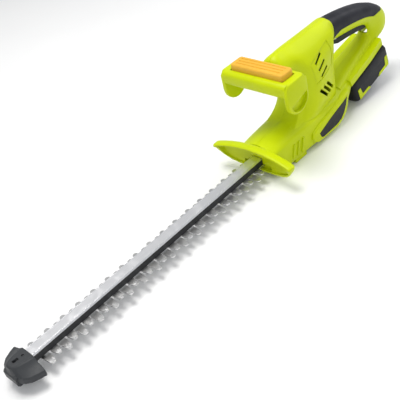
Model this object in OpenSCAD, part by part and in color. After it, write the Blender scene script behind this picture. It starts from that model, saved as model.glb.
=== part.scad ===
/* [Blades] */
// Distance between neighbouring teeth of one blade
tooth_pitch = 30; // [26:0.5:36]
// Teeth along each side of a blade
teeth_per_side = 16; // [10:1:18]
// Half width over the tooth tips of the lower blade
lower_reach = 31; // [27:0.5:37]
// Half width over the tooth tips of the upper blade
upper_reach = 26; // [22:0.5:30]
// Thickness of each blade
blade_t = 2.2; // [1.6:0.1:3]
// Half width of the blade strip between the teeth
strip_half = 10; // [9:0.5:12]
// Distance a blade moves each way from its middle position
blade_throw = 8; // [5:0.5:9]
// Height of the gap between the two blades above the ground
blade_z = 22; // [20:0.5:24]
// Running gap between neighbouring blade faces
blade_gap = 0.15; // [0.1:0.05:0.3]

/* [Blade bar] */
// Half width of the bar above the blades
bar_half = 10.4; // [9:0.2:12]
// Height of the dark channel under the bar's cap
channel_h = 11; // [8:0.5:14]
// Height of the bright cap
cap_h = 2.6; // [2:0.1:4]
// Shank radius of the blade bolts
bolt_r = 2.5; // [2:0.1:3]
// Wall of the spacer sleeve around each blade bolt
sleeve_wall = 1; // [0.8:0.1:1.4]
// Distance between blade bolts
bolt_pitch = 90; // [70:5:120]

/* [Tip shield] */
// Half width over the wings
wing_half = 38; // [34:0.5:44]
// Distance from the first tooth to the nose
nose_reach = 54; // [48:1:62]
// Half width of the raised middle block
tip_block_half = 14.5; // [13:0.5:17]
// Radius of the hanging hole through the shield
hang_r = 3.2; // [2.5:0.1:4]

/* [Hand guard] */
// Half width of the hand guard
guard_half = 85; // [70:1:95]
// Depth of the guard's hood
guard_depth = 17; // [12:0.5:20]
// Height of the guard's ends
guard_end_z = 48; // [44:0.5:54]
// Height of the guard's top edge in the middle
guard_top_z = 61; // [58:0.5:70]
// Height of the guard's lower edge in the middle
guard_low_z = 12; // [10:0.5:16]
// Rim thickness of the guard
guard_rim = 5; // [3:0.5:7]

/* [Body] */
// Half width of the gear housing at its side walls
gear_half = 41; // [39:0.5:46]
// Half width of the upper housing around the motor
pod_half = 44; // [42:0.5:50]
// Height of the housing ridge
ridge_z = 191; // [189:0.5:200]
// Gap between the two housing shells along the middle
seam = 0.2; // [0.1:0.05:0.4]
// Height of the feet under the housing
foot_h = 4; // [3:0.5:6]

/* [Front handle] */
// Half length of the front handle
bar_reach = 70; // [62:1:80]
// Thickness of the end lugs
lug_t = 8; // [6:0.5:12]
// Underside of the front handle
fh_bottom = 152; // [150:0.5:156]
// Top of the front handle
fh_top = 177; // [175:0.5:180]
// Travel of the safety bar when pressed
bar_travel = 3.5; // [2:0.5:4.5]
// Half length of the safety bar
press_half = 55; // [44:1:60]

/* [Rear handle] */
// Half width of the rear grip
grip_half = 20; // [18:0.5:23]
// Thickness of the soft grip
rubber_t = 2; // [1.5:0.25:3]
// Half width of the trigger
trigger_half = 8; // [6:0.5:10]
// Largest trigger angle in degrees
trigger_swing = 4; // [2:0.5:5]
// Radius of the trigger pin
pin_r = 2; // [1.5:0.1:2.5]

/* [Battery] */
// Tilt of the battery rail in degrees, rear end up
rail_angle = 13; // [10:0.5:14]
// Length of the battery case
pack_l = 116; // [106:1:122]
// Half width of the battery case
pack_half = 38; // [34:0.5:42]
// Height of the battery case
pack_h = 44; // [40:0.5:45]
// Half width of the wide part of the rail block
rail_half = 25; // [22:0.5:27]
// Clearance between the rail block and its channel
rail_gap = 0.5; // [0.3:0.1:1]
// Thickness of the battery foot
foot_slab = 13; // [12.5:0.5:15]

/* [Drive] */
// Module of the gear teeth
gear_m = 1; // [0.9:0.05:1]
// Teeth on the motor pinion
pinion_n = 9; // [8:1:10]
// Teeth on the drive gear
gear_n = 63; // [56:1:63]
// Face width of the drive gear
gear_w = 6; // [5:0.5:7]
// Radius of the motor
motor_r = 18.5; // [16:0.5:19]
// Length of the motor
motor_l = 57; // [45:1:60]
// Radius of the gear shaft
shaft_r = 4; // [3:0.25:5]
// Running clearance of the shafts
run_gap = 0.05; // [0.03:0.01:0.1]

/* [Hidden] */
$fn = 48;

rear_x = -407.1;
first_tooth = 20;
last_tooth = first_tooth + (teeth_per_side - 1) * tooth_pitch;
nose_x = last_tooth + nose_reach;
shift_x = -(nose_x + rear_x) / 2;
over = 1;

// Blade stack heights
low_top = blade_z - blade_gap / 2;
low_bot = low_top - blade_t;
up_bot = blade_z + blade_gap / 2;
up_top = up_bot + blade_t;
ch_bot = up_top + blade_gap;
ch_top = ch_bot + channel_h;
cap_top = ch_top + cap_h;
sleeve_r = bolt_r + sleeve_wall;
slot_half = sleeve_r + 0.4;
bar_start = -36;
bar_end = last_tooth + 36;
bolt_x0 = 46;
bolt_n = floor((bar_end - 14 - bolt_x0) / bolt_pitch) + 1;

// Drive layout
gear_x = -108;
pitch_r = gear_m * gear_n / 2;
pinion_pr = gear_m * pinion_n / 2;
motor_x = gear_x - pitch_r - pinion_pr - 0.1;
gear_z = 39;
motor_z = 64;
cam_r = 9;
sweep = cam_r + blade_throw;
win_x = sweep + blade_throw + 0.6;
win_y = sweep + 0.6;
yoke_y = win_y + 5;
yoke_x = win_x + 6;

// Battery rail frame
rail_x = -252;
rail_z = 54;
pack_drop = 3;

function lerp(a, b, t) = a + (b - a) * t;
function cr(a, b, c, d, t) = 0.5 * ((2 * b) + (c - a) * t + (2 * a - 5 * b + 4 * c - d) * t * t + (3 * b - a - 3 * c + d) * t * t * t);
function at(l, i) = l[max(0, min(len(l) - 1, i))];
// Stations made finer by a smooth curve through the chosen ones
function finer(l, n) = [for (i = [0:len(l) - 2], k = [0:n - 1]) cr(at(l, i - 1), at(l, i), at(l, i + 1), at(l, i + 2), k / n), l[len(l) - 1]];
function pw(v, e) = sign(v) * pow(abs(v), e);

function total(l, i = 0) = i == len(l) - 1 ? l[i] : l[i] + total(l, i + 1);
// Solid through a row of rings of equal point count; each end is closed by a strip across the ring
module skin(r) {
  n = len(r[0]);
  m = len(r);
  way = total([for (i = [0:n - 1]) cross(r[0][i], r[0][(i + 1) % n])]) * (total(r[1]) - total(r[0])) > 0;
  h = floor((n - 1) / 2);
  cap = [for (i = [0:h - 1]) each [[i, i + 1, n - 1 - i], if (i + 1 < n - 2 - i) [i + 1, n - 2 - i, n - 1 - i]]];
  tris = concat(cap, [for (t = cap) [for (k = [2:-1:0]) (m - 1) * n + t[k]]],
    [for (j = [0:m - 2], i = [0:n - 1]) let (k = (i + 1) % n) each [[j * n + i, (j + 1) * n + i, (j + 1) * n + k], [j * n + i, (j + 1) * n + k, j * n + k]]]);
  minkowski() polyhedron(points = [for (a = r, p = a) p], faces = way ? tris : [for (t = tris) [t[2], t[1], t[0]]], convexity = 8);
}
module place() { translate([shift_x, 0, 0]) children(); }
module rail() { translate([rail_x, 0, rail_z]) rotate([0, rail_angle, 0]) children(); }
module box(a, b) { translate(a) cube(b - a); }
module both() { children(); mirror([0, 1, 0]) children(); }
module rsq(w, h, r) { square([w - 2 * r, h], center = true); square([w, h - 2 * r], center = true); for (x = [-1, 1], y = [-1, 1]) translate([x * (w / 2 - r), y * (h / 2 - r)]) circle(r); }
module side(y0, y1) { translate([0, y1, 0]) rotate([90, 0, 0]) linear_extrude(y1 - y0) children(); }

// ---- Outer shape of the gear housing: stations [x, half width, bottom, crease, top]
gear_st = [[-guard_depth, -4, 6, 50, 60], [-40, -3, 4, 53, 63], [-90, -1.5, 4, 56, 67], [-130, 0, 4, 57, 70], [-170, 1, 4, 57, 70],
  [-195, 1, 5, 57, 70], [-209, 0, 11, 57, 70], [-223, -2, 21, 59, 71], [-238, -5, 33, 61, 72], [-250.6, -7.4, 44.9, 63, 72.7]];
function gear_ring(s, d = 0) = let (x = s[0], w = gear_half + s[1] - d, b = s[2] + d, c = s[3] - d * 0.6, t = s[4] - d) [[x, -over, b], [x, w - 10, b], [x, w - 5, b + 1],
  [x, w - 1.6, b + 4], [x, w - 0.4, b + 9], [x, w, b + 16 > c - 12 ? c - 12 : b + 16], [x, w - 0.6, c - 5], [x, w - 2, c - 1.6], [x, w - 5, c + 0.8],
  [x, w * 0.68, lerp(c, t, 0.42)], [x, w * 0.4, lerp(c, t, 0.78)], [x, w * 0.15, lerp(c, t, 0.97)], [x, -over, t]];
module gear_loft(d = 0) { skin([for (s = finer(gear_st, 2)) gear_ring(s, d)]); }

// ---- Outer shape of the upper housing: stations [z, front, rear, neck half, shoulder x, width offset, rear half]
pod_st = [[40, -84, -206, 30, -112, -7, 31], [58, -76, -207, 32, -112, -5.5, 31], [66, -86, -208, 30, -118, -3.4, 32], [76, -97, -208, 27.5, -125, -1.2, 32],
  [90, -106, -209, 25.5, -129, 0, 32], [110, -111, -210, 25, -130, 0, 32], [130, -111, -213, 25, -129, -1, 31], [146, -105, -217, 26, -126, -4, 31], [158, -90, -221, 26, -122, -9, 29],
  [168, -83, -225, 24, -118, -14, 26], [176, -82, -228, 20, -114, -20, 22], [183, -84, -231, 14, -110, -28, 16], [188, -90, -232, 7.5, -108, -35.5, 9], [190, -98, -230, 4, -108, -39.6, 4.6]];
function pod_ring(s, d = 0) = let (z = s[0] + (s[0] > 150 ? (ridge_z - 191) * (s[0] - 150) / 40 : 0) - (s[0] > 150 ? d * (s[0] - 150) / 40 : 0), f = s[1] - d, r = s[2] + d, n = max(1.2, s[3] - d), x = s[4], w = max(1.6, pod_half + s[5] - d), e = max(1.4, s[6] - d), q = min(1, n / 12))
  [[f, -over, z], [f - 0.6 * q, n * 0.4, z], [f - 3 * q, n * 0.75, z], [f - 7 * q, n * 0.95, z], [lerp(f - 7 * q, x + 4, 0.55), n, z], [x + 4, n + (w - n) * 0.06, z], [x - 2, n + (w - n) * 0.4, z],
  [x - 8, n + (w - n) * 0.76, z], [x - 16, n + (w - n) * 0.96, z], [x - 28, w, z], [lerp(x - 28, r, 0.4), lerp(w, e, 0.2), z], [lerp(x - 28, r, 0.75), lerp(w, e, 0.62), z], [r + 3 * q, e + 0.6 * q, z], [r - 1 * q, e * 0.85, z],
  [r - 2.5 * q, e * 0.5, z], [r - 3 * q, -over, z]];
module pod_loft(d = 0) { skin([for (s = finer(pod_st, 2)) pod_ring(s, d)]); }

// ---- Outer shape of the rear handle: stations [outer x, outer z, inner x, inner z, half width, half width inside]
loop_st = [[-200, 187, -205, 142, 2, 0], [-228, 187, -226, 142, 0, -1], [-259, 183, -255, 140, 0, -2], [-293, 177, -287, 136, 0, -2], [-326, 169, -317, 131, 0, -2], [-354, 160, -334, 126, 0, -2],
  [-378, 149, -341, 121, 0, -3], [-396, 135, -344, 115, 0, -4], [-406, 119, -345, 109, 0, -5], [-406, 103, -342, 103, 0, -5], [-398, 91, -333, 97, 0, -3], [-380, 83.6, -316, 91, 0, 0],
  [-345, 75.5, -296, 85.5, 1, 1], [-305, 66.3, -272, 80, 4, 3], [-262, 56.4, -247, 74.5, 8, 7], [-222, 48, -216, 68.5, 13, 14]];
function loop_pt(s, a, d) = let (u = pw(cos(a), 0.8), v = pow(sin(a), 0.72), dx = s[0] - s[2], dz = s[1] - s[3], l = sqrt(dx * dx + dz * dz), ux = dx / l, uz = dz / l, h = l / 2 + d,
  w = grip_half + d + (u >= 0 ? s[4] : lerp(s[4], s[5], -u))) [(s[0] + s[2]) / 2 + ux * h * u, w * v, (s[1] + s[3]) / 2 + uz * h * u];
function loop_ring(s, d = 0) = let (p = loop_pt(s, 0, d), q = loop_pt(s, 180, d)) concat([[p[0], -over, p[2]]], [for (a = [12:13:168]) loop_pt(s, a, d)], [[q[0], -over, q[2]]]);
module loop_loft(d = 0) { skin([for (s = finer(loop_st, 2)) loop_ring(s, d)]); }

// Soft grip: a C-shaped band over the top of the rear handle, between offsets a and b from its surface
grip_st = finer([for (i = [1:7]) loop_st[i]], 3);
function grip_edge(t) = t < 0.1 ? lerp(118, 96, t / 0.1) : t > 0.86 ? lerp(92, 55, (t - 0.86) / 0.14) : lerp(96, 92, (t - 0.1) / 0.76);
module grip_band(a, b, more = 0) {
  n = len(grip_st);
  e0 = 1;
  e1 = n - 2;
  skin([for (i = [e0:e1]) let (s = grip_st[i], t = (i - e0) / (e1 - e0), g = grip_edge(t) + more)
    concat([for (k = [0:8]) let (p = loop_pt(s, abs(lerp(-g, g, k / 8)), b)) [p[0], (k < 4 ? -1 : 1) * p[1], p[2]]],
      [for (k = [8:-1:0]) let (p = loop_pt(s, abs(lerp(-g, g, k / 8)), a)) [p[0], (k < 4 ? -1 : 1) * p[1], p[2]]])]);
}

// ---- Front handle half, from the middle outwards
fh_mid_x = -61.5;
fh_len = 53;
lug_r = fh_len / 2;
lug_z = 143;
function fh_ring(y, d) = let (w = fh_len / 2 - d, h = (fh_top - fh_bottom) / 2 - d, r = 7) [for (c = [[1, 1, 0], [-1, 1, 90], [-1, -1, 180], [1, -1, 270]], a = [0:30:90])
  [fh_mid_x + c[0] * (w - r) + r * cos(a + c[2]), y, (fh_top + fh_bottom) / 2 + c[1] * (h - r) + r * sin(a + c[2])]];
function lug_ring(y, d) = concat([for (a = [180:15:360]) [fh_mid_x + (lug_r - d) * cos(a), y, lug_z + (lug_r - d) * sin(a)]],
  [[fh_mid_x + lug_r - d, y, fh_top - 8 - d * 0.5], [fh_mid_x + lug_r - 8, y, fh_top - d], [fh_mid_x - lug_r + 8, y, fh_top - d], [fh_mid_x - lug_r + d, y, fh_top - 8 - d * 0.5]]);
module front_handle_half() {
  skin([fh_ring(-over, 0), fh_ring(bar_reach - 8, 0), fh_ring(bar_reach - 4, 0.6)]);
  difference() {
    skin([for (s = [[bar_reach - lug_t, 1.2], [bar_reach - lug_t + 1.2, 0], [bar_reach - 2, 0], [bar_reach - 0.6, 0.8], [bar_reach, 2.4]]) lug_ring(s[0], s[1])]);
    side(bar_reach - lug_t + 2, bar_reach + 1) intersection() {
      translate([fh_mid_x - 1, lug_z - 1]) circle(lug_r - 5);
      translate([fh_mid_x - 1, lug_z - 2]) rotate(-14) translate([-40, -60]) square([80, 60]);
    }
  }
}

// ---- Cavities inside the shells
wall = 2.8;
grip_pin_x = -244;
grip_pin_z = 147;
module half_space() { box([-600, seam / 2, -20], [200, 200, 260]); }
module slot_shape() { polygon([[-237.5, 153], [-238, 131], [-260, 116], [-354, 104], [-354, 134], [-338, 144], [-300, 150], [-255, 153.5]]); }
module inner_space() {
  difference() {
    union() {
      intersection() { gear_loft(wall); box([-250, -5, 0], [-guard_depth - 6, 60, 90]); }
      pod_loft(wall);
      loop_loft(-rubber_t - wall);
    }
    // screw bosses
    for (p = screw_pts) translate([p[0], -1, p[1]]) rotate([-90, 0, 0]) cylinder(r = 4.2, h = 80, $fn = 14);
    // ribs that hold the motor
    for (z = [motor_z + 6, motor_z + motor_l - 9]) difference() {
      box([-230, -5, z], [-90, 60, z + 2.4]);
      translate([motor_x, 0, z - 1]) cylinder(r = motor_r + 0.35, h = 5, $fn = 32);
      box([-230, -5, z - 1], [motor_x - motor_r - 3, 60, z + 5]);
    }
    // walls behind the battery foot and around the drive shaft's upper bearing
    difference() {
      translate([gear_x, 0, 49]) cylinder(r = shaft_r + 8, h = 30, $fn = 20);
      translate([gear_x, 0, 40]) cylinder(r = shaft_r + 4.1, h = 16, $fn = 24);
    }
  }
  // blade slot through the front wall
  box([-60, -1, low_bot - 1.6], [0, bar_half + 0.3, cap_top + 0.2]);
  // tie with the safety bar
  box([-100, -1, 157], [-50, 9, 172]);
  side(-1, trigger_half + 0.5) slot_shape();
  rail() box([-40, -1, 9.6], [30, 18, 12]);
}
// Recess for the safety bar in the front handle
module press_recess(g = 0) {
  box([fh_mid_x - 15 - g, -1, fh_top - 9], [fh_mid_x + 15 + g, press_half + g, fh_top + 20]);
}
module battery_channel() {
  rail() {
    box([-200, -60, -60], [-4, rail_half - 4 + rail_gap, 3.2]);
    box([-200, -60, 2.8], [-4, rail_half + rail_gap, 9.6]);
  }
}
// Side ornaments that both shells carry
function frame_pts(d) = [[-112 - d, 22 + d * 0.4], [-118 - d * 0.6, 13 + d], [-128, 7.5 + d], [-186, 6 + d], [-203 + d * 0.2, 11 + d], [-214 + d * 0.6, 20 + d * 0.8], [-222 + d, 34], [-226 + d, 50 + d * 0.5], [-227 + d, 60 - d * 2], [-208, 57.5 - d], [-160, 47 - d], [-124, 36 - d], [-115 - d * 0.6, 31 - d * 0.6]];
badge_pts = [[-131, 24], [-136, 13.5], [-142, 11.5], [-184, 12.5], [-196, 16], [-206, 24], [-214, 36], [-218.5, 50], [-208, 46], [-170, 36.5]];
function grow(p, d) = let (n = len(p), c = [for (i = [0:n - 1]) let (a = p[(i + n - 1) % n], b = p[i], e = p[(i + 1) % n], u = (b - a) / norm(b - a), v = (e - b) / norm(e - b), w = u + v, t = [-w[1], w[0]] / norm(w)) b + t * d / max(0.5, (t * [-u[1], u[0]]))]) c;
panel_y = gear_half + 3.4;
module side_details_add() {
  // raised frame around the badge
  skin([for (s = [[gear_half - 8, 0], [panel_y - 2.2, 0], [panel_y - 0.8, 0.8], [panel_y, 2.6]]) [for (p = frame_pts(s[1])) [p[0], s[0], p[1]]]]);
  // grip ribs
  for (i = [0:2]) translate([-62 - i * 12, 0, 0]) side(gear_half - 6, gear_half - 0.6 + (i == 2 ? 1.2 : i == 1 ? 0.7 : 0.2)) polygon([[0, 16], [4, 16], [-4, 40], [-8, 40]]);
  // feet
  for (x = [-98, -189]) box([x, 27, 0], [x + 30, gear_half - 4, 10]);
}
window_pts = [[-200, 168], [-204, 150], [-198, 127], [-144, 116], [-140, 154]];
module side_details_cut() {
  // opening for the window panel
  side(20, 70) polygon(window_pts);
  // cooling vents below the window
  for (i = [0:2]) side(20, 70) polygon([for (p = [[-147, 99.5], [-151.5, 103], [-172, 81.5], [-167.5, 78]]) [p[0] - i * 10.8, p[1] + i * 2]]);
}
screw_pts = [[-50, 46], [-196, 70], [-122, 142], [-215, 168], [-372, 119]];
screw_r = 1.6;

// Half shell; the one with the screw heads also has their access holes
module shell(heads = false) {
  difference() {
    union() {
      gear_loft();
      pod_loft();
      loop_loft();
      front_handle_half();
      side_details_add();
      // battery foot
      intersection() {
        rail() {
          box([-100, -1, 0], [6, 37, foot_slab]);
          box([-112, -1, 0], [-100, 25, foot_slab]);
          translate([-100, 25, 0]) cylinder(r = 12, h = foot_slab);
        }
        rail() translate([0, 0, -1]) linear_extrude(40) polygon([[6, -1], [6, 37], [-60, 36], [-112, 32], [-112, -1]]);
      }
    }
    inner_space();
    press_recess(0.4);
    battery_channel();
    grip_band(-rubber_t - 0.1, 8, 0.8);
    side(panel_y - 1.8, 80) polygon(badge_pts);
    side_details_cut();
    // base cover seat
    box([-192.3, -1, -10], [-22, 26.2, 9.2]);
    // pins and screws
    translate([grip_pin_x, 0, grip_pin_z]) rotate([-90, 0, 0]) cylinder(r = pin_r + run_gap, h = grip_half - 5, $fn = 16);
    for (p = screw_pts) translate([p[0], 0, p[1]]) rotate([-90, 0, 0]) { cylinder(r = screw_r + run_gap * 1.6, h = 14, $fn = 14); if (heads) translate([0, 0, 11]) cylinder(r = 3.4, h = 80, $fn = 18); }
  }
}
module housing_left() { color("yellowgreen") place() intersection() { shell(); half_space(); } }
module housing_right() { color("olivedrab") place() mirror([0, 1, 0]) intersection() { shell(true); half_space(); } }

// ---- Hand guard
function guard_top(y) = guard_end_z + 1.5 + (guard_top_z - guard_end_z - 1.5) * (1 - pow(abs(y) / guard_half, 2));
function guard_low(y) = guard_low_z + (guard_end_z - 3 - guard_low_z) * pow(abs(y) / guard_half, 5.4);
function guard_ring(x, d, e = 0) = let (h = guard_half - d - e, n = 9) concat(
  [for (i = [-n:n]) let (y = h * sin(90 * i / n)) [x + 5 * pow(y / guard_half, 2), y, guard_top(y) - d - (abs(i) == n ? 1 : 0)]],
  [for (i = [n:-1:-n]) let (y = h * sin(90 * i / n)) [x + 5 * pow(y / guard_half, 2), y, min(guard_low(y) + d, guard_top(y) - d - 3) + (abs(i) == n ? 1 : 0)]]);
module hand_guard() {
  color("gold") place() difference() {
    skin([for (s = [[-guard_depth + 0.1, 3], [-guard_depth + 2, 0.8], [-guard_depth + 5, 0], [-3, 0], [-1, 0.7], [0, 1.6]]) guard_ring(s[0], s[1])]);
    skin([for (s = [[-guard_depth + 4, guard_rim + 0.5, 8], [-6, guard_rim - 0.7, 7], [3, guard_rim - 1.2, 6]]) guard_ring(s[0], s[1], s[2])]);
    // way for the blades and the bar
    box([-30, -lower_reach + 2, low_bot - 3.4], [20, lower_reach - 2, up_top + 2.6]);
    box([-30, -bar_half - 0.5, low_bot - 3.4], [20, bar_half + 0.5, cap_top + 0.5]);
    // the lower edge sits further back than the top rim
    side(-100, 100) polygon([[-guard_depth + 5.5, -20], [-guard_depth + 5.5, guard_low_z], [1.5, guard_end_z - 4], [30, guard_end_z + 4], [30, -20]]);
  }
}

// ---- Base cover with its screw bosses
module base_cover() {
  color("greenyellow") place() difference() {
    union() {
      box([-192, -25.9, 4], [-22.3, 25.9, 6.6]);
      for (x = [-40, -182], y = [-19, 19]) translate([x, y, 4]) cylinder(r = 5, h = 5.8);
      for (x = [-170:16:-60]) box([x, -20, 2.6], [x + 4, 20, 4.5]);
    }
    for (x = [-40, -182], y = [-19, 19]) translate([x, y, 0]) { cylinder(r = 1.8, h = 20); cylinder(r = 3.4, h = 5.4); }
  }
}

// ---- Safety bar on the front handle
press_x = 15;
press_top = fh_top + 11;
press_low = fh_top - 9 + bar_travel + 0.5;
function press_ring(y, d) = [for (p = [[-1, 0], [-1, 0.62], [-0.9, 0.86], [-0.72, 1], [0.72, 1], [0.9, 0.86], [1, 0.62], [1, 0]]) [fh_mid_x + p[0] * (press_x - d), y, press_low + p[1] * (press_top - d - press_low)]];
module safety_bar() {
  color("orange") place() difference() {
    skin([for (s = [[-press_half, 4], [-press_half + 1.5, 1.6], [-press_half + 4, 0.4], [-press_half + 8, 0], [press_half - 8, 0], [press_half - 4, 0.4], [press_half - 1.5, 1.6], [press_half, 4]]) press_ring(s[0], s[1])]);
    for (x = [-8, -2.7, 2.7, 8]) box([fh_mid_x + x - 1, -press_half + 9, press_top - 0.7], [fh_mid_x + x + 1, press_half - 9, press_top + 2]);
    for (y = [-34, 34]) translate([fh_mid_x, y, press_low - 1]) cylinder(r = 3.8, h = 7);
  }
}
module safety_springs() {
  color("silver") place() for (y = [-34, 34]) translate([fh_mid_x, y, fh_top - 9]) difference() {
    cylinder(r = 3, h = press_low + 6 - fh_top + 9 - 0.2);
    translate([0, 0, -1]) cylinder(r = 2.2, h = 20);
  }
}
module safety_switch() {
  color("dimgray") place() difference() {
    union() { box([fh_mid_x - 8, -8.5, 158], [fh_mid_x + 8, 8.5, fh_top - 9.4]); box([fh_mid_x - 2, -2.5, 160], [fh_mid_x + 2, 2.5, fh_top - 8.8]); }
    for (y = [-5, 5]) translate([fh_mid_x - 20, y, 161]) rotate([0, 90, 0]) cylinder(r = 1.2, h = 40);
  }
}

// ---- Rear grip, trigger and its parts
module rear_grip() { color("black") place() grip_band(-rubber_t, 0.4); }
module trigger() {
  color("dimgray") place() difference() {
    union() {
      side(-trigger_half, trigger_half) polygon([[-240, 147], [-239.5, 136], [-248, 132.3], [-258, 128.6], [-290, 125.4], [-318, 121.6], [-338, 117.2], [-346, 116.6], [-349, 119], [-349, 123.4], [-334, 129.5], [-300, 136.5], [-262, 140.5], [-248, 146]]);
      translate([grip_pin_x, trigger_half, grip_pin_z]) rotate([90, 0, 0]) cylinder(r = 4.4, h = 2 * trigger_half);
    }
    translate([grip_pin_x, 50, grip_pin_z]) rotate([90, 0, 0]) cylinder(r = pin_r + run_gap, h = 100);
    for (i = [0:5]) translate([-262 - i * 12, 0, 127.4 - i * 1.35]) rotate([90, 0, 0]) translate([0, -2.6, -20]) cylinder(r = 0.9, h = 40);
  }
}
module trigger_pin() { color("silver") place() translate([grip_pin_x, grip_half - 5.2, grip_pin_z]) rotate([90, 0, 0]) cylinder(r = pin_r, h = 2 * grip_half - 10.4); }
spring_x = -284;
module trigger_spring() {
  color("silver") place() translate([spring_x, 0, 139.4]) difference() { cylinder(r = 3.4, h = 14.6); translate([0, 0, -1]) cylinder(r = 2.6, h = 20); }
}
module trigger_switch() {
  color("navy") place() difference() {
    box([-330, -8, 141.5], [-304, 8, 152]);
    for (x = [-325, -309]) translate([x, 20, 147]) rotate([90, 0, 0]) cylinder(r = 1.4, h = 40);
  }
}

// ---- Side inserts
module badge_plate() { color("black") place() side(panel_y - 1.8, panel_y + 0.3) polygon(grow(badge_pts, -0.25)); }
module badge_left() { badge_plate(); }
module badge_right() { mirror([0, 1, 0]) badge_plate(); }
module window_plate() {
  color("lime") place() difference() {
    intersection() {
      pod_loft(0.5);
      side(20, 70) polygon(grow(window_pts, 0.35));
    }
    pod_loft(wall - 0.6);
    for (i = [0:2]) side(10, 80) polygon([for (p = [[-173.2, 160.3], [-174.8, 156.1], [-152.8, 146.1], [-151.2, 150.3]]) [p[0] - i * 3, p[1] - i * 12.8]]);
  }
}
module window_left() { window_plate(); }
module window_right() { mirror([0, 1, 0]) window_plate(); }
module housing_screws() {
  color("silver") place() mirror([0, 1, 0]) for (p = screw_pts) translate([p[0], seam, p[1]]) rotate([-90, 0, 0]) difference() {
    union() { translate([0, 0, -10]) cylinder(r = screw_r, h = 21.2); translate([0, 0, 11.1]) cylinder(r = 3.1, h = 2.4); }
    translate([0, 0, 12]) cylinder(r = 1.4, h = 3, $fn = 6);
  }
}

// ---- Motor and drive
module motor_case() {
  color("gray") place() translate([motor_x, 0, motor_z]) difference() {
    union() {
      cylinder(r = motor_r, h = motor_l);
      translate([0, 0, -2.5]) cylinder(r = 6, h = 3);
      translate([0, 0, motor_l]) cylinder(r = 7, h = 3);
      for (y = [-10.5, 10.5]) box([-1, y - 2, motor_l - 1], [0, y + 2, motor_l + 7]);
    }
    translate([0, 0, -5]) cylinder(r = 1.6 + run_gap, h = 20);
    for (a = [0, 180]) rotate([0, 0, a]) box([motor_r - 2, -6, motor_l - 12], [motor_r + 2, 6, motor_l - 5]);
  }
}
function gear_pts(n, m, back = 0.06) = let (r = m * n / 2, a = 360 / n) [for (i = [0:n - 1], k = [[r - 1.2 * m, -0.31], [r, -0.225 + back / 3], [r + 0.9 * m, -0.095], [r + 0.9 * m, 0.095], [r, 0.225 - back / 3], [r - 1.2 * m, 0.31]]) [k[0] * cos((i + k[1]) * a), k[0] * sin((i + k[1]) * a)]];
module motor_pinion() {
  color("goldenrod") place() translate([motor_x, 0, gear_z - gear_w / 2 - 0.5]) {
    rotate([0, 0, gear_n % 2 == 0 ? 180 / pinion_n : 0]) linear_extrude(gear_w + 1) polygon(gear_pts(pinion_n, gear_m));
    cylinder(r = 1.6, h = motor_z + 10 - gear_z);
  }
}
module motor_mount() {
  color("silver") place() translate([motor_x, 0, motor_z - 2.9]) difference() {
    cylinder(r = motor_r + 0.9, h = 2.6);
    translate([0, 0, -1]) cylinder(r = 6.3, h = 6);
    for (a = [90, 270]) rotate([0, 0, a]) translate([12.5, 0, -1]) cylinder(r = 1.6, h = 6);
  }
}
shaft_low = 10;
shaft_top = 55;
module drive_gear() {
  color("tan") place() translate([gear_x, 0, 0]) {
    translate([0, 0, gear_z - gear_w / 2]) linear_extrude(gear_w) difference() {
      polygon(gear_pts(gear_n, gear_m));
      for (a = [30:60:330]) rotate(a) translate([pitch_r * 0.62, 0]) circle(r = 5);
    }
    translate([0, 0, shaft_low]) cylinder(r = shaft_r, h = shaft_top - shaft_low);
    translate([0, blade_throw, low_bot]) cylinder(r = cam_r, h = blade_t);
    translate([0, -blade_throw, up_bot]) cylinder(r = cam_r, h = blade_t + 1.5);
    translate([0, 0, up_top + 1]) cylinder(r = 10, h = gear_z - gear_w / 2 - up_top);
  }
}
plate_bot = 10;
module gear_plate() {
  color("slategray") place() difference() {
    union() {
      box([-198, -31, plate_bot], [-28, 31, low_bot - blade_gap - 0.6]);
      // posts that carry the bar
      for (y = [-bar_half - 4, bar_half + 4]) box([-62, y - 3, low_bot - 2], [-50, y + 3, cap_top - 2]);
    }
    translate([gear_x, 0, -5]) cylinder(r = 7, h = 60);
    for (x = [-40, -182], y = [-19, 19]) translate([x, y, -5]) cylinder(r = 1.5, h = 60);
  }
}
module shaft_bearings() {
  color("lightsteelblue") place() translate([gear_x, 0, 0]) {
    difference() { translate([0, 0, plate_bot + 0.2]) cylinder(r = 6.95, h = 6); cylinder(r = shaft_r + run_gap, h = 60); }
    difference() { translate([0, 0, 49.5]) cylinder(r = shaft_r + 4, h = 5.5); cylinder(r = shaft_r + run_gap, h = 80); }
  }
}

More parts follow.
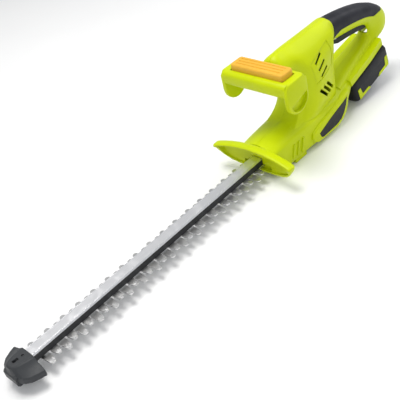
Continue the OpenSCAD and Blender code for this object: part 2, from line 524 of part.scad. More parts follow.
// ---- Blades
// A pair of teeth, one along +Y and one along -Y, as one shape across the strip
module tooth_pair(reach, w0, w1, round) {
  arm = reach - strip_half;
  s = strip_half;
  p = round ? [[w0, s - 2], [w0 * 0.86, s + (arm - w1) * 0.3], [w1, reach - w1]] : [[w0, s - 2], [w0 * 0.92, s + arm * 0.35], [w1, reach - 2.4], [w1 - 2, reach]];
  n = len(p);
  polygon([for (q = p) q, for (i = [n - 1:-1:0]) [-p[i][0], p[i][1]], for (q = p) [-q[0], -q[1]], for (i = [n - 1:-1:0]) [p[i][0], -p[i][1]]]);
  if (round) for (m = [-1, 1]) translate([0, m * (reach - w1)]) circle(r = w1, $fn = 24);
}
module blade_shape(x0, reach, round, tail) {
  w0 = round ? 6.8 : 6.6;
  w1 = round ? 4.8 : 4.4;
  difference() {
    union() {
      translate([gear_x + yoke_x - 4, -strip_half]) square([last_tooth + x0 - gear_x - yoke_x + 4 + tail, 2 * strip_half]);
      for (i = [0:teeth_per_side - 1]) translate([first_tooth + x0 + i * tooth_pitch, 0]) tooth_pair(reach, w0, w1, round);
      translate([gear_x, 0]) { square([2 * yoke_x - 16, 2 * yoke_y], center = true); square([2 * yoke_x, 2 * yoke_y - 16], center = true); for (x = [-1, 1], y = [-1, 1]) translate([x * (yoke_x - 8), y * (yoke_y - 8)]) circle(r = 8); }
    }
    translate([gear_x, 0]) { square([2 * win_x, 2 * win_y - 16], center = true); square([2 * win_x - 16, 2 * win_y], center = true); for (x = [-1, 1], y = [-1, 1]) translate([x * (win_x - 8), y * (win_y - 8)]) circle(r = 8); }
    for (i = [0:bolt_n - 1]) translate([bolt_x0 + i * bolt_pitch, 0]) { square([2 * blade_throw + 1, 2 * slot_half], center = true); for (x = [-1, 1]) translate([x * (blade_throw + 0.5), 0]) circle(r = slot_half); }
  }
}
module upper_blade() { color("lightgray") place() translate([0, 0, up_bot]) linear_extrude(blade_t) blade_shape(-tooth_pitch / 2, upper_reach, false, 16); }
module lower_blade() { color("silver") place() translate([0, 0, low_bot]) linear_extrude(blade_t) blade_shape(0, lower_reach, true, 6); }

// ---- Bar, bolts and tip
module bar_channel() {
  color("#333338") place() difference() {
    box([bar_start, -bar_half, ch_bot], [bar_end, bar_half, ch_top]);
    box([bar_start - 1, -bar_half + 3, ch_bot + 2.5], [bar_end + 1, bar_half - 3, ch_top + 1]);
    for (i = [0:bolt_n - 1]) translate([bolt_x0 + i * bolt_pitch, 0, 0]) cylinder(r = bolt_r + 0.1, h = 60);
    translate([last_tooth + 25, 0, 0]) cylinder(r = 2.2, h = 60);
  }
}
module bar_cap() {
  color("gainsboro") place() difference() {
    translate([bar_start, 0, 0]) rotate([90, 0, 90]) linear_extrude(bar_end - bar_start) polygon([[-bar_half + 3.1, ch_top - 3], [bar_half - 3.1, ch_top - 3], [bar_half - 3.1, ch_top], [bar_half, ch_top], [bar_half - 1.6, cap_top], [-bar_half + 1.6, cap_top], [-bar_half, ch_top], [-bar_half + 3.1, ch_top]]);
    for (y = [-7.4, 7.4]) box([bar_start - 1, y - 0.5, cap_top - 0.4], [bar_end + 1, y + 0.5, cap_top + 1]);
    translate([last_tooth + 25, 0, 0]) cylinder(r = 2.2, h = 60);
  }
}
module blade_bolts() {
  color("#a0a0a8") place() for (i = [0:bolt_n - 1]) translate([bolt_x0 + i * bolt_pitch, 0, low_bot - blade_gap]) {
    cylinder(r = bolt_r, h = ch_bot + 5 - low_bot + blade_gap);
    translate([0, 0, -2.2]) cylinder(r = 5.5, h = 2.2);
    translate([0, 0, ch_bot + 2.6 - low_bot + blade_gap]) cylinder(r = 4.4, h = 3.4, $fn = 6);
  }
}
module bolt_sleeves() {
  color("#c8b070") place() for (i = [0:bolt_n - 1]) translate([bolt_x0 + i * bolt_pitch, 0, 0]) {
    difference() { translate([0, 0, low_bot - blade_gap]) cylinder(r = sleeve_r, h = ch_bot - low_bot + blade_gap - 0.02); cylinder(r = bolt_r + 0.02, h = 60); }
  }
}

tip_low = 13;
wing_z = 29.6;
function tip_ring(s) = let (z = s[0], w = s[1], f = s[2], up = s[3], h = tip_block_half - (z > wing_z ? 0.1 * (z - wing_z) : 0), b = last_tooth + 17, n = nose_x - f,
  t = lerp(b, b + 2, (w - h) / max(1, wing_half - h)),
  e = [[n, 0], [n - 0.3, w * 0.2], [n - 2, w * 0.42], [n - 6, w * 0.62], [n - 13, w * 0.8], [lerp(n - 13, t, 0.55), w * 0.935], [t + 0.6, w], [t - 0.6, w - 1.2], [lerp(t, b, 0.5), lerp(w, h, 0.45)], [b, h * 0.9], [b - 0.4, 0]])
  concat([for (i = [0:10]) [e[i][0], e[i][1], z + up * (e[i][0] - b) / (nose_x - b)]], [for (i = [9:-1:1]) [e[i][0], -e[i][1], z + up * (e[i][0] - b) / (nose_x - b)]]);
module tip_shield() {
  color("#44484c") place() difference() {
    union() {
      skin([for (s = [[17, wing_half - 4, 3, 0], [18.5, wing_half - 0.8, 1.6, 0], [21, wing_half, 1, 0], [27, wing_half, 1, 0], [wing_z - 0.4, wing_half - 1, 1.4, 0], [wing_z + 1.2, wing_half - 7, 2, 0.6], [33, 25, 2.4, 1.4], [36, 19, 2.8, 2.4], [39, 16, 3, 3.4], [cap_top + 1.2, tip_block_half + 0.2, 3.4, 4], [cap_top + 2.6, tip_block_half - 1.6, 5.5, 4]]) tip_ring(s)]);
      // bevelled nose bar
      side(-15, 15) polygon([[nose_x - 8, tip_low], [nose_x - 2.5, tip_low], [nose_x, tip_low + 3], [nose_x, 27], [nose_x - 3, 31], [nose_x - 8, 31]]);
    }
    // pocket for the bar's end and room for the blades
    box([last_tooth, -bar_half - 0.1, low_bot - 0.6], [last_tooth + 19.5, bar_half + 0.1, up_top + 0.8]);
    box([last_tooth, -bar_half - 0.1, ch_bot - 0.02], [bar_end + 0.2, bar_half + 0.1, cap_top + 0.1]);
    // pockets on top
    translate([nose_x - 17, 0, 36]) box([-4.6, -2.6, 0], [4.6, 2.6, 20]);
    translate([last_tooth + 25, 0, 16]) cylinder(r = 2.1, h = 50);
    translate([last_tooth + 25, 0, 10]) cylinder(r = 4.2, h = 9.4);
  }
}
module tip_rivets() {
  color("silver") place() translate([last_tooth + 25, 0, 0]) {
    translate([0, 0, 17.2]) cylinder(r = 4, h = 2);
    translate([0, 0, 17.2]) cylinder(r = 2.1, h = cap_top - 17.2 + 1);
  }
}

// ---- Battery foot contacts
tab_y = [-12, 0, 12];
module terminal_block() {
  color("#222222") place() rail() difference() {
    box([-12, -rail_half + 4.2, 0.4], [-4.1, rail_half - 4.2, 9.4]);
    for (y = tab_y) box([-20, y - 0.4, 4.6], [0, y + 0.4, 8]);
  }
}
module terminal_blades() { color("gold") place() rail() for (y = tab_y) box([-23, y - 0.4, 4.6], [-4.5, y + 0.4, 8]); }
module control_board() {
  color("green") place() {
    box([-200, -22, 96], [-198.4, 22, 148]);
    for (p = [[-14, 104], [6, 112], [-6, 130]]) box([-198.5, p[0], p[1]], [-192, p[0] + 8, p[1] + 10]);
  }
}

// ---- Battery pack
top_z = -pack_drop;
split_z = top_z - 17;
low_z = top_z - pack_h;
function pack_ring(z, d) = let (r = 9, x0 = 2 - d, x1 = 2 - pack_l + d, y = pack_half - d) [for (c = [[x0 - r, y - r, 0], [x1 + r, y - r, 90], [x1 + r, -y + r, 180], [x0 - r, -y + r, 270]], a = [0:22.5:90]) [c[0] + r * cos(a + c[2]), c[1] + r * sin(a + c[2]), z]];
accent_pts = [[-6, low_z + 3], [-42, low_z + 3], [-37, low_z + 9], [-16, low_z + 10], [-13, low_z + 26], [-5, low_z + 26]];
module accent(y0, y1, d) {
  for (m = [0, 1]) mirror([0, m, 0]) for (k = [0, 1]) side(y0, y1) polygon([for (p = grow(accent_pts, d)) k == 0 ? p : [4 - pack_l - p[0], p[1]]]);
}
cell_r = 9.2;
module battery_case() {
  color("#26262a") place() rail() difference() {
    skin([for (s = [[low_z, 4], [low_z + 1.6, 1.6], [low_z + 4, 0.3], [low_z + 7, 0], [split_z - 0.1, 0]]) pack_ring(s[0], s[1])]);
    box([-pack_l / 2 + 2 - 49.5, -33.4, low_z + 2.6], [-pack_l / 2 + 2 + 49.5, 33.4, 5]);
    accent(pack_half - 1.4, pack_half + 5, 0);
  }
}
module battery_top() {
  color("#303034") place() rail() difference() {
    union() {
      skin([for (s = [[split_z, 0], [top_z - 5, 0], [top_z - 1.5, 1], [top_z, 3.5]]) pack_ring(s[0], s[1])]);
      box([-92, -rail_half + 4, top_z - 1], [-14, rail_half - 4, 4]);
      box([-92, -rail_half, 3.4], [-14, rail_half, 9.1]);
    }
    box([-98, -32, split_z - 1], [-16, 32, top_z - 3]);
    for (y = tab_y) box([-27, y - 1.9, 4.2], [-10, y + 1.9, 8.4]);
    // latch pocket in the rear face
    box([-pack_l - 5, -15.4, top_z - 13.4], [-pack_l + 14, 15.4, top_z - 3.6]);
    // side notches of the rail block
    for (m = [-1, 1], x = [-74, -48]) box([x, m * (rail_half + 1) - 4, 3], [x + 12, m * (rail_half + 1) + 4, 12]);
  }
}
module battery_accents() { color("yellowgreen") place() rail() accent(pack_half - 1.3, pack_half + 0.5, -0.15); }
module battery_latch() {
  color("#555558") place() rail() difference() {
    box([-pack_l - 1.2, -15, top_z - 13], [-pack_l + 9, 15, top_z - 4]);
    for (i = [0:2]) box([-pack_l - 2, -11, top_z - 11.4 + i * 2.6], [-pack_l - 0.5, 11, top_z - 10.2 + i * 2.6]);
  }
}
module battery_cells() { color("#3070b0") place() rail() for (i = [0:4]) translate([-pack_l / 2 + 2 + (i - 2) * 19.2, 32.6, low_z + 2.8 + cell_r]) rotate([90, 0, 0]) cylinder(r = cell_r, h = 65.2); }
module battery_contacts() { color("goldenrod") place() rail() for (y = tab_y, m = [-1, 1]) box([-26.5, y + m * 1.35 - 0.4, 4.3], [-15, y + m * 1.35 + 0.4, 8.3]); }

housing_left();
housing_right();
hand_guard();
base_cover();
safety_bar();
safety_springs();
safety_switch();
rear_grip();
trigger();
trigger_pin();
trigger_spring();
trigger_switch();
badge_left();
badge_right();
window_left();
window_right();
housing_screws();
motor_case();
motor_pinion();
motor_mount();
drive_gear();
gear_plate();
shaft_bearings();
upper_blade();
lower_blade();
bar_channel();
bar_cap();
blade_bolts();
bolt_sleeves();
tip_shield();
tip_rivets();
terminal_block();
terminal_blades();
control_board();
battery_case();
battery_top();
battery_accents();
battery_latch();
battery_cells();
battery_contacts();
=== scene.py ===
import logging
import math
from dataclasses import dataclass, field
from enum import Enum
from functools import partial
from typing import Any, Callable, Sequence

import bpy
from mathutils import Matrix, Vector


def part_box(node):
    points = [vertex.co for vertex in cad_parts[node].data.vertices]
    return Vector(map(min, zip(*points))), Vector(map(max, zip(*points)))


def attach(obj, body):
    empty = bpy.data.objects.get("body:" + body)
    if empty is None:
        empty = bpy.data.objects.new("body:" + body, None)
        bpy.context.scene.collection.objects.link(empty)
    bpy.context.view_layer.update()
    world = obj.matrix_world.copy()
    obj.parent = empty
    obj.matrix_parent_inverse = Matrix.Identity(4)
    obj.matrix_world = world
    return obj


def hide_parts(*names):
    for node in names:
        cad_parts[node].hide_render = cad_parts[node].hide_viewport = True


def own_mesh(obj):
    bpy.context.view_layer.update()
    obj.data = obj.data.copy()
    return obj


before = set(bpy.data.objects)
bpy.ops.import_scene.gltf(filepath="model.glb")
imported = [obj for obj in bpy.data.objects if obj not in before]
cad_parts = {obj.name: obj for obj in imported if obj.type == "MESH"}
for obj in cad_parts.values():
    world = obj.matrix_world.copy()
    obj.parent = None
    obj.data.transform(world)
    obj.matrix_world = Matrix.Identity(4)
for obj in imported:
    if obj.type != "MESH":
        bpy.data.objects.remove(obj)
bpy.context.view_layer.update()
LOG = logging.getLogger("hedge_trimmer")
Colour = tuple[float, float, float]
EVENLY = (1.0, 1.0, 1.0)
NEAR = 0.00001  # metres; points closer than this count as level, or as one
FLAT = 0.99  # a normal with more than this along z counts as upward


def corners(node: str) -> tuple[Vector, Vector]:
    """Lowest and highest corner of a CAD node, as vectors in metres."""
    low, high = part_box(node)
    return Vector(low), Vector(high)


# ---------------------------------------------------------------- shader maths


class Signal:
    """One output of a shader node, used in expressions like a number."""

    def __init__(self, web: "NodeWeb", socket: bpy.types.NodeSocket) -> None:
        """Wraps a socket.

        Args:
            web: the node web that the socket belongs to.
            socket: the output socket.
        """
        self.web = web
        self.socket = socket

    def other(self, name: str) -> "Signal":
        """Another output of the same node, by its name."""
        return Signal(self.web, self.socket.node.outputs[name])

    def maths(self, operation: str, *values: Any) -> "Signal":
        """A Math node over this signal and other values.

        Args:
            operation: the Math node's operation.
            values: the signals or numbers of its other inputs.

        Returns:
            The Math node's output.
        """
        return self.web.node("ShaderNodeMath", {"operation": operation}, dict(enumerate((self, *values))))

    def __add__(self, other: Any) -> "Signal":
        """self + other."""
        return self.maths("ADD", other)

    __radd__ = __add__

    def __sub__(self, other: Any) -> "Signal":
        """self - other."""
        return self.maths("SUBTRACT", other)

    def __rsub__(self, other: Any) -> "Signal":
        """other - self."""
        return self.maths("MULTIPLY", -1.0).maths("ADD", other)

    def __mul__(self, other: Any) -> "Signal":
        """self * other."""
        return self.maths("MULTIPLY", other)

    __rmul__ = __mul__

    def clamped(self) -> "Signal":
        """The signal held between 0 and 1."""
        return self.maths("MAXIMUM", 0.0).maths("MINIMUM", 1.0)

    def span(self, low: float, high: float) -> "Signal":
        """The signal's stretch from low to high spread over 0 to 1.

        Args:
            low: the value that becomes 0.
            high: the value that becomes 1.

        Returns:
            The spread signal, held between 0 and 1.
        """
        return ((self - low) * (1.0 / (high - low))).clamped()


class NodeWeb:
    """The nodes of one material, built by name with their settings and sockets."""

    def __init__(self, name: str) -> None:
        """Starts a material with an empty web and its Principled shader.

        Args:
            name: the material's name.
        """
        self.material = bpy.data.materials.new(name)
        self.material.use_nodes = True
        self.tree = self.material.node_tree
        self.tree.nodes.clear()
        self.shader = self.node("ShaderNodeBsdfPrincipled").socket.node
        self.node("ShaderNodeOutputMaterial", None, {"Surface": Signal(self, self.shader.outputs[0])})

    def node(self, kind: str, settings: dict[str, Any] | None = None,
             sockets: dict[Any, Any] | None = None) -> Signal | None:
        """Adds a node, sets it up, then fills or links its sockets.

        Args:
            kind: Blender's type name of the node.
            settings: attributes of the node, set before its sockets.
            sockets: input name or index to a number, a tuple or a Signal.

        Returns:
            The node's first output, or None where it has none.
        """
        made = self.tree.nodes.new(kind)
        for key, value in (settings or {}).items():
            setattr(made, key, value)
        for key, value in (sockets or {}).items():
            self.feed(made.inputs[key], value)
        return Signal(self, made.outputs[0]) if made.outputs else None

    def feed(self, socket: bpy.types.NodeSocket, value: Any) -> None:
        """Links a Signal to a socket, or sets the socket's own value.

        Args:
            socket: the input socket.
            value: a Signal, a number or a tuple; a colour may leave out its alpha.
        """
        if isinstance(value, Signal):
            self.tree.links.new(value.socket, socket)
        elif isinstance(value, tuple) and socket.type == "RGBA" and len(value) == 3:
            socket.default_value = (*value, 1.0)
        else:
            socket.default_value = value

    def surface(self, **values: Any) -> None:
        """Sets or links the Principled shader's sockets, with _ for a space in a name."""
        for key, value in values.items():
            self.feed(self.shader.inputs[key.replace("_", " ")], value)

    def place(self, stretch: Sequence[float] = EVENLY) -> Signal:
        """The point on the piece, in metres, stretched along its axes."""
        here = self.node("ShaderNodeTexCoord").other("Object")
        return self.node("ShaderNodeMapping", None, {"Vector": here, "Scale": tuple(stretch)})

    def noise(self, size: float, detail: float = 3.0, stretch: Sequence[float] = EVENLY,
              rough: float = 0.55) -> Signal:
        """Soft random pattern.

        Args:
            size: the size of its blots in metres.
            detail: how many finer layers it has.
            stretch: how much faster it changes along each axis.
            rough: weight of the finer layers.

        Returns:
            The pattern, about 0.3 to 0.7.
        """
        sockets = {"Vector": self.place(stretch), "Scale": 1.0 / size, "Detail": detail, "Roughness": rough}
        return self.node("ShaderNodeTexNoise", {"noise_dimensions": "3D"}, sockets)

    def cells(self, size: float) -> Signal:
        """Distance pattern of random cells of a size in metres."""
        sockets = {"Vector": self.place(), "Scale": 1.0 / size}
        return self.node("ShaderNodeTexVoronoi", {"feature": "F1"}, sockets)

    def mixed(self, mask: Any, first: Any, second: Any) -> Signal:
        """Blends two colours by a mask.

        Args:
            mask: 0 for the first colour, 1 for the second.
            first: the first colour, as a tuple or a Signal.
            second: the second colour.

        Returns:
            The blended colour.
        """
        mix = self.node("ShaderNodeMix", {"data_type": "RGBA"}).socket.node
        for index, value in ((0, mask), (6, first), (7, second)):
            self.feed(mix.inputs[index], value)
        return Signal(self, mix.outputs[2])

    def relief(self, height: Signal, depth: float, rounding: float, strength: float = 1.0) -> Signal:
        """Surface relief over edges that are softly rounded.

        Args:
            height: the relief's pattern, 0 to 1.
            depth: its depth in metres.
            rounding: the radius that edges look rounded by, in metres.
            strength: how strongly it shows.

        Returns:
            The normal for the shader.
        """
        soft = self.node("ShaderNodeBevel", {"samples": 6}, {"Radius": rounding})
        sockets = {"Strength": strength, "Distance": depth, "Height": height, "Normal": soft}
        return self.node("ShaderNodeBump", None, sockets)


# ---------------------------------------------------------------- finishes


@dataclass(frozen=True)
class Finish:
    """A surface finish; each kind draws its own nodes.

    Attributes:
        name: the material's name.
        slot: the record's material slot that it belongs to; not used.
    """

    name: str
    slot: str

    def draw(self, web: NodeWeb) -> None:
        """Draws the finish into a node web."""
        raise NotImplementedError

    def material(self) -> bpy.types.Material:
        """Draws the material the first time that it is asked for.

        Returns:
            The finish's material.
        """
        known = bpy.data.materials.get(self.name)
        if known is None:
            web = NodeWeb(self.name)
            self.draw(web)
            known = web.material
        return known


@dataclass(frozen=True)
class MouldedPlastic(Finish):
    """Injection-moulded plastic with a fine spark-eroded grain.

    Attributes:
        colour: main colour.
        deep: colour of its thicker, darker patches.
        roughness: mean roughness.
        grain: size of the grain in metres.
        depth: depth of the grain in metres.
        rounding: edge radius in metres.
        scuff: strength of pale handling marks.
        specular: level of its gloss.
    """

    colour: Colour = (0.5, 0.5, 0.5)
    deep: Colour = (0.4, 0.4, 0.4)
    roughness: float = 0.4
    grain: float = 0.0006
    depth: float = 0.00004
    rounding: float = 0.0009
    scuff: float = 0.1
    specular: float = 0.32

    def draw(self, web: NodeWeb) -> None:
        """Draws mottled colour, smeared gloss and grain.

        Args:
            web: the node web to draw into.
        """
        broad = web.noise(0.06, 2.0).span(0.35, 0.65)
        fine = web.noise(0.0035, 4.0).span(0.3, 0.7)
        body = web.mixed((broad * 0.7 + fine * 0.3) * 0.55, self.colour, self.deep)
        marks = web.noise(0.02, 6.0, (1.0, 3.5, 1.0), 0.7).span(0.62, 0.78)
        pale = tuple(min(1.0, c * 1.15 + 0.03) for c in self.colour)
        smear = (web.noise(0.012, 3.0) - 0.5) * 0.16
        spark = web.cells(self.grain) * 0.6 + web.noise(self.grain * 1.7, 2.0) * 0.4
        web.surface(Base_Color=web.mixed(marks * self.scuff, body, pale),
                    Roughness=smear + marks * 0.08 + self.roughness,
                    Normal=web.relief(spark, self.depth, self.rounding),
                    Specular_IOR_Level=self.specular)


@dataclass(frozen=True)
class SoftRubber(Finish):
    """Over-moulded dark rubber with a matt stipple.

    Attributes:
        colour: its colour.
        roughness: mean roughness.
        stipple: distance between the dots in metres.
    """

    colour: Colour = (0.02, 0.02, 0.025)
    roughness: float = 0.5
    stipple: float = 0.0011

    def draw(self, web: NodeWeb) -> None:
        """Draws worn, slightly shiny patches over a stippled ground.

        Args:
            web: the node web to draw into.
        """
        worn = web.noise(0.03, 3.0).span(0.4, 0.7)
        dots = web.cells(self.stipple).span(0.15, 0.6)
        grey = tuple(c * 1.9 + 0.006 for c in self.colour)
        web.surface(Base_Color=web.mixed(worn * 0.5 + dots * 0.25, self.colour, grey),
                    Roughness=(1.0 - worn) * 0.12 + self.roughness,
                    Normal=web.relief(dots, 0.00005, 0.0008, 0.7),
                    Specular_IOR_Level=0.22)


class Lay(Enum):
    """The way that a metal's tool marks run."""

    LENGTHWISE = (1.0, 60.0, 60.0)
    CROSSWISE = (45.0, 1.5, 45.0)
    ROUND = (1.0, 1.0, 60.0)
    EVEN = (6.0, 6.0, 6.0)


@dataclass(frozen=True)
class WorkedMetal(Finish):
    """Bare metal with tool marks and a little staining.

    Attributes:
        colour: clean colour.
        stain: colour of the dull stains.
        roughness: mean roughness.
        lay: the way that the marks run.
        mark: size of the marks along their length, in metres.
        depth: depth of the marks in metres.
        rounding: edge radius in metres.
    """

    colour: Colour = (0.6, 0.6, 0.6)
    stain: Colour = (0.4, 0.38, 0.36)
    roughness: float = 0.3
    lay: Lay = Lay.EVEN
    mark: float = 0.02
    depth: float = 0.00003
    rounding: float = 0.0004

    def draw(self, web: NodeWeb) -> None:
        """Draws streaks, stains and fine relief.

        Args:
            web: the node web to draw into.
        """
        streak = web.noise(self.mark, 5.0, self.lay.value, 0.7)
        dull = web.noise(0.018, 5.0).span(0.5, 0.72)
        shade = tuple(c * 0.72 for c in self.colour)
        sheen = web.mixed(streak.span(0.35, 0.65) * 0.35, self.colour, shade)
        web.surface(Base_Color=web.mixed(dull * 0.35, sheen, self.stain),
                    Roughness=(streak - 0.5) * 0.35 + dull * 0.12 + self.roughness,
                    Normal=web.relief(streak, self.depth, self.rounding, 0.8),
                    Metallic=1.0)


@dataclass(frozen=True)
class GlossPanel(Finish):
    """Polished dark panel under a clear lacquer.

    Attributes:
        colour: its colour.
    """

    colour: Colour = (0.006, 0.006, 0.008)

    def draw(self, web: NodeWeb) -> None:
        """Draws a deep colour with dust specks and faint orange peel.

        Args:
            web: the node web to draw into.
        """
        dust = web.cells(0.004).span(0.09, 0.03)
        web.surface(Base_Color=web.mixed(dust * 0.2, self.colour, (0.12, 0.12, 0.12)),
                    Roughness=web.noise(0.01, 3.0) * 0.14 + 0.1,
                    Normal=web.relief(web.noise(0.003, 2.0), 0.00001, 0.0006),
                    Coat_Weight=0.08, Coat_Roughness=0.05, Specular_IOR_Level=0.2)


@dataclass(frozen=True)
class CircuitBoard(Finish):
    """Green solder mask over copper tracks.

    Attributes:
        mask: the mask's colour.
        track: the mask's colour over a track.
    """

    mask: Colour = (0.01, 0.12, 0.04)
    track: Colour = (0.03, 0.22, 0.07)

    def draw(self, web: NodeWeb) -> None:
        """Draws tracks and pads under the mask.

        Args:
            web: the node web to draw into.
        """
        bands = {"wave_type": "BANDS", "bands_direction": "Y"}
        sockets = {"Vector": web.place(), "Scale": 160.0, "Distortion": 6.0, "Detail": 1.0}
        lines = web.node("ShaderNodeTexWave", bands, sockets).span(0.45, 0.55)
        pads = web.cells(0.006).span(0.22, 0.18)
        copper = (lines * 0.6 + pads).clamped()
        web.surface(Base_Color=web.mixed(copper, self.mask, self.track), Roughness=0.5 - copper * 0.15,
                    Normal=web.relief(copper, 0.00004, 0.0003))


@dataclass(frozen=True)
class ShrinkWrap(Finish):
    """Thin glossy film shrunk over a battery cell.

    Attributes:
        colour: the film's colour.
    """

    colour: Colour = (0.02, 0.12, 0.42)

    def draw(self, web: NodeWeb) -> None:
        """Draws wrinkles and a paler stretched tone.

        Args:
            web: the node web to draw into.
        """
        wrinkle = web.noise(0.01, 4.0, (3.0, 1.0, 3.0)).span(0.4, 0.65)
        tight = tuple(c * 1.3 + 0.02 for c in self.colour)
        web.surface(Base_Color=web.mixed(wrinkle * 0.4, self.colour, tight),
                    Roughness=wrinkle * 0.15 + 0.25,
                    Normal=web.relief(wrinkle, 0.00008, 0.0004))


LIME = MouldedPlastic(
    "lime_housing", "lime_plastic", colour=(0.56, 0.66, 0.0), deep=(0.47, 0.57, 0.0), roughness=0.4,
    specular=0.2, depth=0.00003, rounding=0.0014)
LIME_PACK = MouldedPlastic(
    "lime_trim", "lime_plastic", colour=(0.54, 0.64, 0.0), deep=(0.45, 0.55, 0.0), specular=0.2,
    roughness=0.42, rounding=0.0006)
AMBER = MouldedPlastic(
    "amber_press_bar", "orange_plastic", colour=(0.76, 0.43, 0.04), deep=(0.68, 0.35, 0.03),
    roughness=0.42, depth=0.00003, rounding=0.0006)
BLACK = MouldedPlastic(
    "black_moulding", "black_plastic", colour=(0.012, 0.0125, 0.016), deep=(0.007, 0.007, 0.009),
    roughness=0.45, depth=0.00006, rounding=0.0007, scuff=0.25, specular=0.2)
SHIELD = MouldedPlastic(
    "grained_tip_shield", "shield_plastic", colour=(0.04, 0.043, 0.047), deep=(0.025, 0.027, 0.03),
    roughness=0.5, grain=0.0013, depth=0.00016, rounding=0.0011, scuff=0.35)
CHANNEL = MouldedPlastic(
    "dark_channel", "channel_black", colour=(0.02, 0.021, 0.023), deep=(0.012, 0.012, 0.013),
    roughness=0.42, depth=0.00003, rounding=0.0005, scuff=0.3)
RUBBER = SoftRubber("grip_rubber", "black_rubber", colour=(0.009, 0.0095, 0.014), roughness=0.42)
BLADE = WorkedMetal(
    "ground_blade_steel", "blade_steel", colour=(0.66, 0.66, 0.66), stain=(0.42, 0.41, 0.4),
    roughness=0.32, lay=Lay.CROSSWISE, mark=0.02, depth=0.00001, rounding=0.00012)
CAP = WorkedMetal(
    "brushed_bar", "bar_aluminium", colour=(0.9, 0.9, 0.92), stain=(0.72, 0.72, 0.73),
    roughness=0.34, lay=Lay.LENGTHWISE, mark=0.06, depth=0.000006, rounding=0.0003)
PLATE = WorkedMetal(
    "cast_plate", "bar_aluminium", colour=(0.6, 0.61, 0.62), stain=(0.42, 0.42, 0.42),
    roughness=0.48, mark=0.012, depth=0.00008)
STEEL = WorkedMetal(
    "plated_steel", "steel", colour=(0.58, 0.59, 0.61), stain=(0.4, 0.39, 0.37), roughness=0.28,
    mark=0.01)
GEAR = WorkedMetal(
    "hobbed_steel", "steel", colour=(0.46, 0.46, 0.47), stain=(0.3, 0.26, 0.2), roughness=0.36,
    lay=Lay.ROUND, mark=0.012)
BRASS = WorkedMetal(
    "brass", "brass", colour=(0.83, 0.6, 0.24), stain=(0.5, 0.34, 0.12), roughness=0.3, mark=0.01)
BADGE = GlossPanel("gloss_badge", "black_gloss")
BOARD = CircuitBoard("circuit_board", "board_green")
WRAP = ShrinkWrap("cell_film", "cell_wrap")


# ---------------------------------------------------------------- bench tools


class Bench:
    """Modelling steps shared by all sub-assemblies.

    Attributes:
        WELD: corners nearer than this are joined, in metres.
        EDGE: edges sharper than this are bevelled, in radians.
    """

    WELD = 0.000004
    EDGE = math.radians(50)

    @staticmethod
    def only(piece: bpy.types.Object) -> None:
        """Goes to object mode with one piece selected and active.

        Args:
            piece: the piece.
        """
        if bpy.context.object and bpy.context.object.mode != "OBJECT":
            bpy.ops.object.mode_set(mode="OBJECT")
        bpy.ops.object.select_all(action="DESELECT")
        piece.select_set(True)
        bpy.context.view_layer.objects.active = piece

    @staticmethod
    def pick(piece: bpy.types.Object, mode: str, test: Callable[[Any], bool]) -> int:
        """Selects faces or edges of a piece by a test and goes to edit mode.

        Args:
            piece: the piece.
            mode: "FACE" or "EDGE".
            test: says for each polygon or edge whether it is wanted.

        Returns:
            How many were selected.
        """
        bpy.ops.object.mode_set(mode="EDIT")
        bpy.ops.mesh.select_mode(type=mode)
        bpy.ops.mesh.select_all(action="DESELECT")
        bpy.ops.object.mode_set(mode="OBJECT")
        found = [item for item in (piece.data.polygons if mode == "FACE" else piece.data.edges) if test(item)]
        for item in found:
            item.select = True
        bpy.ops.object.mode_set(mode="EDIT")
        return len(found)

    @staticmethod
    def modifier(piece: bpy.types.Object, kind: str, **settings: Any) -> None:
        """Adds a modifier with its settings and applies it.

        Args:
            piece: the active piece.
            kind: the modifier's type.
            settings: its attributes.
        """
        made = piece.modifiers.new(kind.lower(), kind)
        for key, value in settings.items():
            setattr(made, key, value)
        bpy.ops.object.modifier_apply(modifier=made.name)

    @staticmethod
    def settle(piece: bpy.types.Object, angle: float) -> None:
        """Applies the piece's place and shades it smooth.

        Args:
            piece: the piece.
            angle: edges sharper than this stay sharp, in degrees.
        """
        Bench.only(piece)
        bpy.ops.object.transform_apply(location=True, rotation=True, scale=True)
        bpy.ops.object.shade_smooth_by_angle(angle=math.radians(angle))

    @staticmethod
    def merged_copy(node: str, name: str, flat: float = 0.0) -> bpy.types.Object:
        """A copy of a CAD node's mesh with its corners joined.

        Args:
            node: the CAD node.
            name: the new piece's name.
            flat: faces within this angle in degrees become one.

        Returns:
            The new piece, in object mode.
        """
        piece = bpy.data.objects.new(name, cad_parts[node].data.copy())
        bpy.context.scene.collection.objects.link(piece)
        piece.data.materials.clear()
        Bench.only(piece)
        bpy.ops.mesh.customdata_custom_splitnormals_clear()
        bpy.ops.object.mode_set(mode="EDIT")
        bpy.ops.mesh.select_all(action="SELECT")
        bpy.ops.mesh.remove_doubles(threshold=Bench.WELD)
        bpy.ops.mesh.dissolve_degenerate(threshold=Bench.WELD)
        if flat:
            bpy.ops.mesh.dissolve_limited(angle_limit=math.radians(flat), use_dissolve_boundaries=False)
        bpy.ops.object.mode_set(mode="OBJECT")
        return piece


